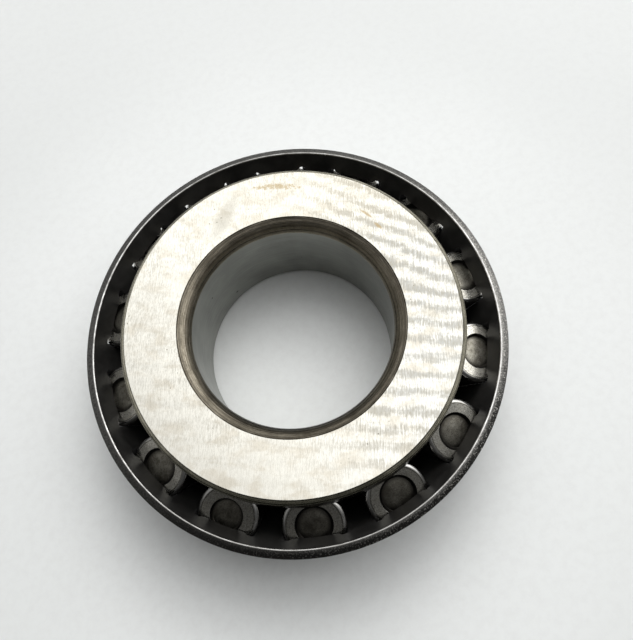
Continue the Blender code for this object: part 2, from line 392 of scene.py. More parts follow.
def turned_material(name, light, dark, shade=1.0):
    """Turned surface with heat-treatment colour: rings of fine tool marks."""
    k = Nodes(name)
    p = k.coords()
    r, z, x, y = k.polar(p)
    # a slow wander keeps the rings from being perfect
    wander = k.math('MULTIPLY', k.noise(p, 0.15, 2.0), 0.25)
    rr, zz = k.math('ADD', r, wander), k.math('ADD', z, wander)
    tool = k.noise(k.vec(rr, zz, 0.0), 3.6, 5.0, 0.75)
    tool2 = k.noise(k.vec(rr, zz, 3.0), 11.0, 2.0, 0.6)
    marks = k.math('ADD', k.math('MULTIPLY', tool, 0.7), k.math('MULTIPLY', tool2, 0.3))
    around = k.noise(p, 0.30, 3.0, 0.6)
    rub = k.noise(p, 2.4, 4.0, 0.65)
    f = k.math('ADD', k.fit(marks, 0.42, 0.60, 0.0, 0.85), k.math('MULTIPLY', k.fit(around, 0.35, 0.7), 0.30))
    col = k.mix(f, tuple(c * shade for c in dark), tuple(c * shade for c in light))
    col = k.mix(k.math('MULTIPLY', k.fit(rub, 0.52, 0.70), 0.35), col, (0.07, 0.06, 0.05))
    # painted shade: darker towards the bottom of the picture, where the turned surfaces catch less light
    q = k.coords(rot=(0, 0, PHASE))
    _, v, _ = k.xyz(q)
    painted_low_shade = k.fit(k.math('ADD', v, k.math('MULTIPLY', k.math('SUBTRACT', around, 0.5), 14.0)), -31.0, -12.0, 0.80, 0.0, True)
    col = k.mix(painted_low_shade, col, (0.010, 0.010, 0.006))
    k.set("Base Color", col)
    k.set("Metallic", 1.0)
    k.set("Roughness", k.fit(rub, 0.3, 0.7, 0.22, 0.34))
    k.set("Normal", k.bump(marks, 0.7, 0.03))
    return k.mat


# tone along the bore corner, from the back face (0) to the bore (1): partly the corner's own banded colour, partly
# painted shade and highlight for how its curve catches the light, with painted shade in its grooves
CORNER_TONE_AND_SHADE = [(0.00, 0.42), (0.035, 0.24), (0.065, 0.32), (0.10, 0.76), (0.15, 0.30), (0.20, 0.40),
               (0.25, 0.84), (0.275, 0.76), (0.295, 0.60), (0.33, 0.88), (0.40, 0.82), (0.46, 0.92),
               (0.52, 0.92), (0.60, 0.76), (0.65, 0.90), (0.70, 1.00), (0.745, 0.52), (0.80, 0.36),
               (0.86, 0.44), (0.93, 0.38), (1.00, 0.48)]


def corner_material(name):
    """The big turned corner of the bore: brownish, ringed by tool marks, with painted
    shade and highlight along its curve and painted shade as a dark line at the face and another before the bore."""
    k = Nodes(name)
    p = k.coords()
    r, z, x, y = k.polar(p)
    wander = k.math('MULTIPLY', k.math('SUBTRACT', k.noise(p, 0.16, 2.0), 0.5), 0.16)
    h = k.math('MAXIMUM', k.math('SUBTRACT', WIDTH, z), 0.0)
    # how far along the corner's curve a depth below the face is
    t = k.math('SQRT', k.math('MULTIPLY_ADD', h, 4.04, 3.0625))
    t = k.math('DIVIDE', k.math('SUBTRACT', t, 1.75), 2.02)
    # the corner's own tone, with painted shade and highlight along its curve and painted shade in its grooves
    ramp = k.new("ShaderNodeValToRGB")
    els = ramp.color_ramp.elements
    while len(els) < len(CORNER_TONE_AND_SHADE):
        els.new(0.5)
    for el, (at, v) in zip(els, CORNER_TONE_AND_SHADE):
        el.position = at
        el.color = (v, v, v, 1.0)
    k.put(ramp.inputs[0], k.math('ADD', t, k.math('MULTIPLY', wander, 0.25)))
    s = k.math('ADD', t, wander)
    tool = k.noise(k.vec(s, k.math('MULTIPLY', k.noise(p, 0.5, 2.0), 0.06), 0.0), 9.0, 2.0, 0.6)
    tool2 = k.noise(k.vec(s, k.math('MULTIPLY', k.noise(p, 1.4, 2.0), 0.03), 5.0), 28.0, 2.0, 0.6)
    marks = k.math('ADD', k.math('MULTIPLY', tool, 0.48), k.math('MULTIPLY', tool2, 0.52))
    around = k.noise(p, 0.22, 3.0, 0.6)
    rub = k.noise(p, 2.6, 4.0, 0.65)
    f = k.math('ADD', k.fit(marks, 0.41, 0.59, 0.0, 0.80), k.math('MULTIPLY', k.fit(around, 0.35, 0.7), 0.35))
    col = k.mix(f, (0.120, 0.102, 0.072), (0.74, 0.66, 0.52))
    col = k.mix(1.0, col, ramp.outputs[0], 'MULTIPLY')
    col = k.mix(k.math('MULTIPLY', k.fit(rub, 0.50, 0.70), 0.35), col, (0.05, 0.042, 0.03))
    # darker towards the bottom of the picture, most of all near the bore
    _, v, _ = k.xyz(k.coords(rot=(0, 0, PHASE)))
    down = k.fit(k.math('ADD', v, k.math('MULTIPLY', k.math('SUBTRACT', around, 0.5), 6.0)), -20.0, -9.0, 1.0, 0.0, True)
    col = k.mix(k.math('MULTIPLY', down, k.fit(t, 0.15, 0.85, 0.34, 0.74)), col, (0.012, 0.011, 0.008))
    k.set("Base Color", col)
    k.set("Metallic", 1.0)
    # the ridged upper band scatters more than the lower one
    k.set("Roughness", k.math('ADD', k.fit(rub, 0.3, 0.7, 0.0, 0.10), k.fit(t, 0.24, 0.32, 0.44, 0.27)))
    k.set("Normal", k.bump(marks, 0.70, 0.025))
    return k.mat


def bore_material(name):
    k = Nodes(name)
    p = k.coords()
    r, z, x, y = k.polar(p)
    hone = k.noise(k.vec(k.math('MULTIPLY', x, 0.12), k.math('MULTIPLY', y, 0.12), k.math('MULTIPLY', z, 3.6)), 1.0, 4.0, 0.6)
    cloud = k.noise(p, 0.16, 3.0, 0.55)
    col = k.mix(k.fit(cloud, 0.35, 0.68), (0.264, 0.268, 0.245), (0.347, 0.351, 0.323))
    col = k.mix(k.math('MULTIPLY', k.fit(hone, 0.4, 0.68), 0.30), col, (0.170, 0.176, 0.163))
    cell = k.spots(p, 0.30)
    pit = k.fit(cell, 0.035, 0.06, 1.0, 0.0)
    rare = k.fit(k.noise(p, 0.10, 1.0), 0.50, 0.56)
    col = k.mix(k.math('MULTIPLY', k.math('MULTIPLY', pit, rare), 0.7), col, (0.04, 0.04, 0.04))
    # two dark dots on the left side of the picture
    for az, depth, size in ((137.5, 19.4, 0.26), (155.0, 10.0, 0.17)):
        a = radians(az) - PHASE
        d = k.new("ShaderNodeVectorMath", operation='DISTANCE')
        k.put(d.inputs[0], p)
        d.inputs[1].default_value = (BORE * cos(a), BORE * sin(a), WIDTH - depth)
        col = k.mix(k.fit(d.outputs["Value"], size, size + 0.10, 0.85, 0.0), col, (0.02, 0.02, 0.018))
    k.set("Base Color", col)
    k.set("Metallic", 1.0)
    k.set("Roughness", k.fit(hone, 0.3, 0.7, 0.30, 0.40))
    k.set("Normal", k.bump(hone, 0.25, 0.01))
    return k.mat


def race_material(name):
    """Finish-ground raceway and rib face."""
    k = Nodes(name)
    p = k.coords()
    r, z, x, y = k.polar(p)
    lines = k.noise(k.vec(k.math('MULTIPLY', x, 0.1), k.math('MULTIPLY', y, 0.1), k.math('MULTIPLY', k.math('ADD', z, r), 5.0)), 1.0, 4.0, 0.6)
    col = k.mix(k.fit(lines, 0.35, 0.7), (0.56, 0.55, 0.53), (0.40, 0.39, 0.37))
    k.set("Base Color", col)
    k.set("Metallic", 1.0)
    k.set("Roughness", k.fit(lines, 0.3, 0.7, 0.14, 0.24))
    k.set("Normal", k.bump(lines, 0.15, 0.008))
    return k.mat


def oxide_material(name):
    """Black oxide on pressed steel: a dark layer with a deep sheen, drawn
    marks, smudges and thin rubbed places."""
    k = Nodes(name)
    p = k.coords()
    drawn = k.noise(k.scaled(p, (1.2, 1.2, 0.35)), 1.0, 4.0, 0.6)
    smudge = k.noise(p, 0.24, 4.0, 0.6, 0.6)
    grain = k.noise(p, 5.0, 3.0, 0.6)
    col = k.mix(k.fit(smudge, 0.38, 0.70), (0.0125, 0.0121, 0.0114), (0.0260, 0.0251, 0.0237))
    rub = k.math('MULTIPLY', k.fit(grain, 0.60, 0.74), k.fit(smudge, 0.50, 0.66))
    col = k.mix(k.math('MULTIPLY', rub, 0.5), col, (0.07, 0.067, 0.063))
    k.set("Base Color", col)
    k.set("Metallic", 0.0)
    k.set("IOR", 1.32)
    k.set("Roughness", k.math('ADD', k.fit(smudge, 0.3, 0.7, 0.27, 0.43), k.math('MULTIPLY', k.fit(drawn, 0.3, 0.7), 0.08)))
    h = k.math('ADD', k.math('MULTIPLY', drawn, 0.7), k.math('MULTIPLY', grain, 0.3))
    k.set("Normal", k.bump(h, 0.30, 0.03))
    return k.mat


def cut_material(name):
    """Punched sides of the pockets: dull black."""
    k = Nodes(name)
    p = k.coords()
    torn = k.noise(p, 4.0, 3.0, 0.6)
    col = k.mix(k.fit(torn, 0.4, 0.7), (0.010, 0.010, 0.010), (0.030, 0.029, 0.028))
    k.set("Base Color", col)
    k.set("IOR", 1.40)
    k.set("Roughness", 0.62)
    k.set("Normal", k.bump(torn, 0.5, 0.04))
    return k.mat


def sheared_material(name):
    """Sheared edge of the sheet: torn grey metal with bright crumbs, partly painted highlight, on one
    side of the cage, still black elsewhere; painted light and shade round the rim."""
    k = Nodes(name)
    p = k.coords(rot=(0, 0, PHASE))
    x, y, z = k.xyz(p)
    torn = k.noise(p, 3.2, 4.0, 0.65)
    crumbs = k.noise(p, 3.7, 2.5, 0.65)
    patch = k.noise(p, 0.16, 3.0, 0.6)
    # how far across the rim, from the inner corner, and which way round
    r = k.math('SQRT', k.math('ADD', k.math('MULTIPLY', x, x), k.math('MULTIPLY', y, y)))
    across = k.math('SUBTRACT', k.math('MULTIPLY', k.math('SUBTRACT', r, RIM_R), OUT.x),
                    k.math('MULTIPLY', k.math('SUBTRACT', z, RIM_Z), -OUT.y))
    turn = k.math('MULTIPLY_ADD', k.math('ARCTAN2', y, x), 0.5 / pi, 0.5)
    turn = k.math('ADD', turn, k.math('MULTIPLY', k.math('SUBTRACT', patch, 0.5), 0.06))

    def around(stops):
        ramp = k.new("ShaderNodeValToRGB")
        els = ramp.color_ramp.elements
        while len(els) < len(stops):
            els.new(0.5)
        for el, (deg, v) in zip(els, stops):
            el.position = deg / 360.0 + 0.5
            el.color = (v, v, v, 1.0)
        k.put(ramp.inputs[0], turn)
        return ramp.outputs[0]
    # painted light and shade round the rim: bright at the sides of the picture, darkest at its bottom
    tone = around([(-180, 0.20), (-150, 0.17), (-135, 0.11), (-115, 0.06), (-90, 0.034), (-60, 0.032),
                   (-42, 0.036), (-25, 0.058), (-5, 0.205), (15, 0.225), (45, 0.145), (90, 0.13),
                   (135, 0.19), (180, 0.20)])
    # where the rim shows bare and bright: partly real grit, partly painted highlight on the lit right side
    grit_and_highlight = around([(-180, 0.10), (-120, 0.10), (-80, 0.42), (-50, 0.85), (-20, 1.00), (25, 0.90),
                   (50, 0.30), (90, 0.10), (180, 0.10)])
    col = k.mix(1.0, tone, (1.0, 0.975, 0.92), 'MULTIPLY')
    col = k.mix(k.fit(torn, 0.42, 0.62, 0.0, 0.62), col, (0.022, 0.021, 0.019))
    # burnished towards the inner corner on the right of the picture: partly real burnish, partly painted highlight on
    # the side the light falls on
    near = k.math('MULTIPLY', k.fit(k.math('ADD', across, k.math('MULTIPLY', k.math('SUBTRACT', torn, 0.5), 1.6)), 0.20, 0.95, 1.0, 0.0), grit_and_highlight)
    col = k.mix(k.math('MULTIPLY', near, 0.75), col, (0.42, 0.41, 0.385))
    # bright crumbs: partly bare metal, partly painted highlight, on the lit right side
    lit = k.math('MULTIPLY', k.fit(k.math('SUBTRACT', crumbs, k.math('MULTIPLY', across, 0.03)), 0.53, 0.62), grit_and_highlight)
    col = k.mix(k.math('MULTIPLY', lit, 0.85), col, (0.66, 0.635, 0.59))
    k.set("Base Color", col)
    k.set("Metallic", 0.95)
    k.set("Roughness", k.fit(torn, 0.3, 0.7, 0.30, 0.55))
    h = k.math('ADD', k.math('MULTIPLY', torn, 0.7), k.math('MULTIPLY', crumbs, 0.3))
    k.set("Normal", k.bump(h, 0.7, 0.06))
    return k.mat


def bright_edge_material(name):
    """Burnished corner of the rim, where the oxide has rubbed through."""
    k = Nodes(name)
    p = k.coords()
    wear = k.noise(p, 0.55, 4.0, 0.65)
    nicks = k.noise(p, 3.5, 3.0, 0.6)
    q = k.coords(rot=(0, 0, PHASE))
    x, y, z = k.xyz(q)
    col = k.mix(k.fit(wear, 0.30, 0.62), (0.30, 0.29, 0.275), (0.70, 0.69, 0.67))
    # darker at the top and the bottom of the picture than at the sides
    top_bottom_dim = k.fit(k.math('ABSOLUTE', y), 18.0, 36.0, 0.0, 0.62, True)
    col = k.mix(top_bottom_dim, col, (0.14, 0.135, 0.125))
    col = k.mix(k.fit(nicks, 0.60, 0.74, 0.0, 0.7), col, (0.12, 0.11, 0.10))
    k.set("Base Color", col)
    k.set("Metallic", 1.0)
    k.set("Roughness", k.fit(wear, 0.3, 0.7, 0.36, 0.24))
    k.set("Normal", k.bump(nicks, 0.3, 0.02))
    return k.mat


def roller_body_material(name):
    k = Nodes(name)
    p = k.local()
    r, z, x, y = k.polar(p)
    rings = k.noise(k.vec(k.math('MULTIPLY', x, 0.15), k.math('MULTIPLY', y, 0.15), k.math('MULTIPLY', z, 6.0)), 1.0, 4.0, 0.6)
    cloud = k.noise(p, 0.4, 3.0, 0.6)
    col = k.mix(k.fit(rings, 0.35, 0.7), (0.60, 0.59, 0.57), (0.47, 0.46, 0.44))
    col = k.mix(k.math('MULTIPLY', k.fit(cloud, 0.5, 0.75), 0.3), col, (0.42, 0.38, 0.32))
    # painted shade: a dark line where the corner leaves the flat
    col = k.mix(k.fit(k.math('ABSOLUTE', k.math('SUBTRACT', r, 5.06)), 0.05, 0.12, 0.70, 0.0), col, (0.03, 0.028, 0.022))
    k.set("Base Color", col)
    k.set("Metallic", 1.0)
    k.set("Roughness", k.fit(cloud, 0.3, 0.7, 0.13, 0.22))
    k.set("Normal", k.bump(rings, 0.12, 0.006))
    return k.mat


def painted_side_light(k, mid, side):
    """Painted light: a colour gain that leaves the rollers at the bottom of the picture
    darker than those at its sides."""
    x, y, _ = k.xyz(k.coords(rot=(0, 0, PHASE)))
    right = k.math('MULTIPLY_ADD', k.fit(y, -15.0, 9.0, 0.0, 24.0), 0.8,
                   k.math('MULTIPLY', k.math('SUBTRACT', x, 23.7), 2.9))
    g = k.fit(k.math('MAXIMUM', k.math('MULTIPLY', x, -1.0), right), 8.0, 34.0, mid, side, True)
    return k.vec(g, g, g)


def roller_end_material(name):
    """Ground end face: faint arcs and a fine grain."""
    k = Nodes(name)
    p = k.local()
    x, y, z = k.xyz(p)
    # arcs of a cup wheel that passes across the end
    cx = k.math('ADD', x, 9.0)
    arc = k.math('SQRT', k.math('ADD', k.math('MULTIPLY', cx, cx), k.math('MULTIPLY', y, y)))
    lines = k.noise(k.vec(arc, k.math('MULTIPLY', y, 0.15), 0.0), 3.2, 4.0, 0.65)
    grain = k.noise(p, 4.2, 2.0, 0.6)
    cloud = k.noise(p, 0.7, 3.0, 0.6)
    col = k.mix(k.fit(lines, 0.35, 0.68), (0.66, 0.64, 0.575), (0.46, 0.443, 0.39))
    col = k.mix(k.math('MULTIPLY', k.fit(cloud, 0.45, 0.72), 0.45), col, (0.34, 0.31, 0.25))
    col = k.mix(k.fit(grain, 0.50, 0.64, 0.0, 0.60), col, (0.15, 0.138, 0.112))
    # painted light: brighter on the rollers at the sides of the picture than at its bottom
    col = k.mix(1.0, col, painted_side_light(k, 0.78, 1.64), 'MULTIPLY')
    # painted shade: a dark line where the flat breaks into the corner
    r = k.math('SQRT', k.math('ADD', k.math('MULTIPLY', x, x), k.math('MULTIPLY', y, y)))
    col = k.mix(k.fit(k.math('ABSOLUTE', k.math('SUBTRACT', r, 4.98)), 0.05, 0.11, 0.75, 0.0), col, (0.03, 0.028, 0.022))
    # a few bright specks
    col = k.mix(k.fit(k.noise(k.scaled(p, (1.0, 1.0, 0.5)), 5.0, 1.0, 0.5), 0.62, 0.70, 0.0, 0.6), col, (0.75, 0.74, 0.70))
    k.set("Base Color", col)
    k.set("Metallic", 1.0)
    k.set("Roughness", k.fit(cloud, 0.3, 0.7, 0.22, 0.33))
    h = k.math('ADD', k.math('MULTIPLY', lines, 0.5), k.math('MULTIPLY', grain, 0.5))
    k.set("Normal", k.bump(h, 0.45, 0.018))
    return k.mat


def dimple_material(name):
    """As-forged hollow in the roller's end: dark scale, cloudy, with painted shade round the foot of its wall."""
    k = Nodes(name)
    p = k.local()
    r, z, x, y = k.polar(p)
    cloud = k.noise(p, 0.55, 3.0, 0.60, 0.4)
    grain = k.noise(p, 4.2, 3.0, 0.65)
    scratch = k.noise(k.scaled(p, (0.7, 4.0, 1.0)), 1.0, 3.0, 0.6)
    col = k.mix(k.fit(cloud, 0.36, 0.64), (0.120, 0.110, 0.088), (0.285, 0.270, 0.228))
    col = k.mix(k.fit(grain, 0.48, 0.64, 0.0, 0.65), col, (0.060, 0.052, 0.040))
    col = k.mix(k.fit(scratch, 0.58, 0.70, 0.0, 0.45), col, (0.34, 0.33, 0.30))
    # painted light: brighter on the rollers at the sides of the picture than at its bottom
    col = k.mix(1.0, col, painted_side_light(k, 0.68, 1.70), 'MULTIPLY')
    # painted shade: dark towards the foot of the wall round the hollow, black on the wall itself
    col = k.mix(k.fit(k.math('ADD', r, k.math('MULTIPLY', k.math('SUBTRACT', cloud, 0.5), 0.9)), 2.15, 2.85, 0.0, 0.72, True), col, (0.020, 0.018, 0.015))
    col = k.mix(k.fit(r, 2.80, 3.00, 0.0, 0.80), col, (0.012, 0.011, 0.010))
    k.set("Base Color", col)
    k.set("Metallic", 0.95)
    k.set("Roughness", k.fit(grain, 0.3, 0.7, 0.28, 0.42))
    h = k.math('ADD', k.math('MULTIPLY', grain, 0.5), k.math('MULTIPLY', cloud, 0.5))
    k.set("Normal", k.bump(h, 0.6, 0.06))
    return k.mat


# ------------------------------------------------------------------ inner ring
def bore_corner():
    """From the back face down to the bore: an upper band of turned ridges, a
    groove, and a smoother lower band that ends in a second fine groove."""
    a, b = Vector((21.39, WIDTH)), Vector((BORE, WIDTH - 2.76))
    c = (a + b) / 2 + Vector((-0.763, 0.647)) * 0.78
    pts = []
    steps = 76

    def on_curve(t):
        return (1 - t) ** 2 * a + 2 * t * (1 - t) * c + t * t * b
    for i in range(1, steps):
        t = i / float(steps)
        # a near-straight run, a round, another run, then a round into the bore
        if t < 0.28 or 0.58 < t < 0.77:
            t0, t1 = (0.0, 0.28) if t < 0.28 else (0.58, 0.77)
            f = (t - t0) / (t1 - t0)
            p = on_curve(t0) * (1 - f) + on_curve(t1) * f
        else:
            p = on_curve(t)
        d = 2 * (1 - t) * (c - a) + 2 * t * (b - c)
        n = Vector((d.y, -d.x)).normalized()      # into the steel
        if n.x < 0:
            n = -n
        depth = 0.0
        for at, wide, deep in ((0.045, 0.022, 0.035), (0.295, 0.022, 0.030),
                               (0.755, 0.030, 0.050)):
            depth += deep * max(0.0, 1 - abs(t - at) / wide)
        for at, deep in ((0.12, 0.014), (0.17, 0.022), (0.225, 0.014), (0.36, 0.018), (0.42, 0.024),
                         (0.49, 0.018), (0.55, 0.022), (0.62, 0.018), (0.88, 0.014)):
            depth += deep * max(0.0, 1 - abs(t - at) / 0.020)
        pts.append(tuple(p + n * depth))
    return pts


def inner_ring():
    low = end_z(32.05, W_BIG + 0.15)
    corner_r = W_BIG * sin(TILT) - ROLLER_R * cos(TILT)
    in_r = corner_r + 0.30
    in_z = end_z(in_r, W_BIG + 0.15)
    z1 = in_z - 1.15
    e_r = W_SMALL * sin(TILT) - roller_radius(W_SMALL) * cos(TILT)
    z2 = end_z(e_r, W_SMALL) + 0.55
    gap = 0.25
    outline = [
        ((31.19, WIDTH), 0.08), ((31.42, WIDTH - 0.24), 0.0), ((31.45, WIDTH - 0.30), 0.0),
        ((31.50, WIDTH - 0.29), 0.0), ((31.70, WIDTH - 0.48), 0.0), ((31.73, WIDTH - 0.54), 0.0),
        ((31.79, WIDTH - 0.55), 0.0), ((32.05, WIDTH - 0.80), 0.20), ((32.05, low), 0.30),
        ((in_r, in_z), 0.10), ((corner_r - 0.45, in_z + 0.10), 0.20),
        ((race_r(z1) - 0.45, z1 + 0.30), 0.20), ((race_r(z1), z1), 0.10),
        ((race_r(z2), z2), 0.10), ((race_r(z2) - 0.35, z2 - 0.45), 0.15),
        ((e_r - 0.25, end_z(e_r - 0.25, W_SMALL - gap)), 0.15),
        ((26.20, end_z(26.20, W_SMALL - gap)), 0.20), ((26.20, 0.45), 0.15),
        ((25.75, 0.0), 0.12), ((19.90, 0.0), 0.12), ((BORE, 0.85), 0.15),
    ]
    pts = rounded([p for p, _ in outline] + [(BORE, WIDTH - 2.76), (21.39, WIDTH)],
                  [r for _, r in outline] + [0.0, 0.0], 5)
    pts = supported(pts[:-1] + [pts[-1]], 0.05)
    # the two last corners become the turned bore corner
    top = min(range(len(pts)), key=lambda i: hypot(pts[i][0] - 21.39, pts[i][1] - WIDTH))
    bot = min(range(len(pts)), key=lambda i: hypot(pts[i][0] - BORE, pts[i][1] - (WIDTH - 2.76)))
    between = sorted((bot, top))
    pts = pts[:between[0] + 1] + list(reversed(bore_corner())) + pts[between[1]:]
    mesh = lathe("inner_ring_fine", pts, 256)

    def rule(r, z, n):
        if z > WIDTH - 0.01 and 21.3 < r < 31.3:
            return 0
        if z < 0.01 and 19.8 < r < 25.9:
            return 0
        if z > WIDTH - 2.80 and r < 21.5:
            return 1
        if r < BORE + 0.02:
            return 2
        if z > low + 0.2 and r > 31.0:
            return 4
        if r > 26.1 and z < 4.5 or z < 1.0:
            return 4
        return 3
    put_slots(mesh, rule, [
        ground_face_material("ring_ground_face"),
        corner_material("ring_bore_corner"),
        bore_material("ring_bore"), race_material("ring_raceway"),
        turned_material("ring_rib_turned", (0.36, 0.335, 0.26), (0.045, 0.041, 0.028))])
    show("inner_ring_fine", mesh, "inner_ring", "inner_ring", sharp=28)


# --------------------------------------------------------------------- rollers
ROLLER_CORNER = 0.80
#            hollow's radius, depth, how far it sits off the axis (x, y)
HOLLOWS = {1: (3.36, 0.62, 0.05, 0.08), 8: (3.30, 0.60, -0.10, 0.05), 9: (3.38, 0.58, 0.08, -0.05),
           10: (3.10, 0.66, -0.18, -0.10), 11: (3.44, 0.56, -0.05, 0.12), 12: (3.44, 0.62, 0.10, 0.06),
           13: (3.36, 0.60, -0.06, -0.08), 14: (3.32, 0.64, 0.04, 0.10)}


def roller_outline(hollow, depth):
    up, down = W_BIG - W_MID, W_SMALL - W_MID
    small = roller_radius(W_SMALL)
    k = small / ROLLER_R
    pts, rad = [], []

    def add(r, z, c=0.0):
        pts.append((r, z))
        rad.append(c)

    def hollow_points(sign, size, z0, deep):
        """From the axis out to the flat: domed floor, foot, wall, lip."""
        foot = hollow * 0.88 * size
        out = [(foot * i / 12.0, z0 - sign * (deep - 0.22 * (1 - (i / 12.0) ** 2)), 0.0)
               for i in range(12)]
        out.append((foot, z0 - sign * deep, 0.20))
        out.append((hollow * size, z0 - sign * 0.0, 0.10))
        return out

    c = ROLLER_CORNER
    for r, z, f in hollow_points(1, 1.0, up, depth):
        add(r, z, f)
    add(ROLLER_R - c, up)
    # corner: leaves the flat at a slight break and runs into the body
    for i in range(0, 9):
        g = radians(10 + 80 * i / 8.0)
        add(ROLLER_R - c + c * sin(g) / 1.0 * (1.0), up - c * (1 - cos(g)) / 1.0 - 0.0)
    cs = 0.7
    for i in range(0, 7):
        g = radians(90 - 80 * i / 6.0)
        add(small - cs + cs * sin(g), down + cs * (1 - cos(g)))
    add(small - cs, down)
    for r, z, f in reversed(hollow_points(-1, k, down, depth * 0.9)):
        add(r, z, f)
    out = rounded(pts, rad, 6)
    return supported(out, 0.06, closed=False)


def rollers():
    body_mat = roller_body_material("roller_ground_body")
    end_mat = roller_end_material("roller_ground_end")
    hollow_mat = dimple_material("roller_forged_hollow")
    up, down = W_BIG - W_MID, W_SMALL - W_MID
    rng = np.random.RandomState(7)
    for i in range(N):
        name = "roller_%02d" % (i + 1)
        shape = HOLLOWS.get(i + 1) or (rng.uniform(3.2, 3.45), rng.uniform(0.56, 0.66),
                                       rng.uniform(-0.12, 0.12), rng.uniform(-0.12, 0.12))
        size = shape[0]
        mesh = lathe(name + "_fine", roller_outline(size, shape[1]), 96, closed=False)

        def rule(r, z, n):
            if abs(n.z) > 0.975 and r > (size - 0.02) * (1 if z > 0 else W_SMALL / W_BIG) \
                    and min(abs(z - up), abs(z - down)) < 0.10:
                return 1
            if z > up - 0.9 and r < size + 0.02:
                return 2
            if z < down + 0.9 and r < (size + 0.02) * W_SMALL / W_BIG:
                return 2
            return 0
        put_slots(mesh, rule, [body_mat, end_mat, hollow_mat])
        own = mesh.attributes.new("own_mm", 'FLOAT_VECTOR', 'POINT')
        a = 2 * pi * i / N
        # the hollow's own push off the axis is set out in the picture's axes
        push = Matrix.Rotation(-a - PHASE, 3, 'Z') @ Vector((shape[2], shape[3], 0.0))
        turn = Matrix.Rotation(rng.uniform(0, 2 * pi), 3, 'Z')
        for v, slot in zip(mesh.vertices, own.data):
            slot.vector = (turn @ v.co) / MM + Vector((0, 0, 40.0 * i))
            r, z = hypot(v.co.x, v.co.y) / MM, v.co.z / MM
            if z > 4.0 and r < 4.9:
                f = 1.0 if r < size else max(0.0, (4.9 - r) / (4.9 - size))
                v.co.x += push.x * f * MM
                v.co.y += push.y * f * MM
        place = (Matrix.Rotation(a, 4, 'Z')
                 @ Matrix.Translation((W_MID * sin(TILT) * MM, 0, (APEX + W_MID * cos(TILT)) * MM))
                 @ Matrix.Rotation(TILT, 4, 'Y'))
        mesh.transform(place)
        show(name + "_fine", mesh, name, name, sharp=34)


# ------------------------------------------------------------------------ cage
UP = Vector((sin(CAGE_HALF), cos(CAGE_HALF)))       # up the wall, (r, z)
OUT = Vector((cos(CAGE_HALF), -sin(CAGE_HALF)))     # square to it, outwards


def wall_point(s, t):
    """(r, z) at distance s down the wall, t out from its inner surface."""
    return Vector((RIM_R, RIM_Z)) - UP * s + OUT * t


def pocket_half_angle(s, t):
    """Angle from a roller's plane to the pocket's side, at depth s in the wall."""
    r, z = wall_point(s, t)
    lo, hi = 0.0, pi / N
    for _ in range(40):
        mid = 0.5 * (lo + hi)
        rr = r * cos(mid)
        w = rr * sin(TILT) + (z - APEX) * cos(TILT)
        d = rr * cos(TILT) - (z - APEX) * sin(TILT)
        if hypot(d, r * sin(mid)) < roller_radius(w) + POCKET:
            lo = mid
        else:
            hi = mid
    return lo


# top of the pocket's corner reliefs, its foot, the wall's end
S_TOP, S_LOW, S_END = 3.60, 18.46, 18.72
TOP_DIP = 0.84                                  # straight top edge, below the reliefs
TOP_COLS = (1.00, 1.25, 1.48, 1.72, 2.05)       # its points, from the pocket's side
COLS_BAR, COLS_FILLET, COLS_MID = 3, 3, 12
ROWS_TOP, ROWS_FILLET, ROWS_MID, ROWS_LOW = 6, 3, 16, 1
FILLET = 0.60


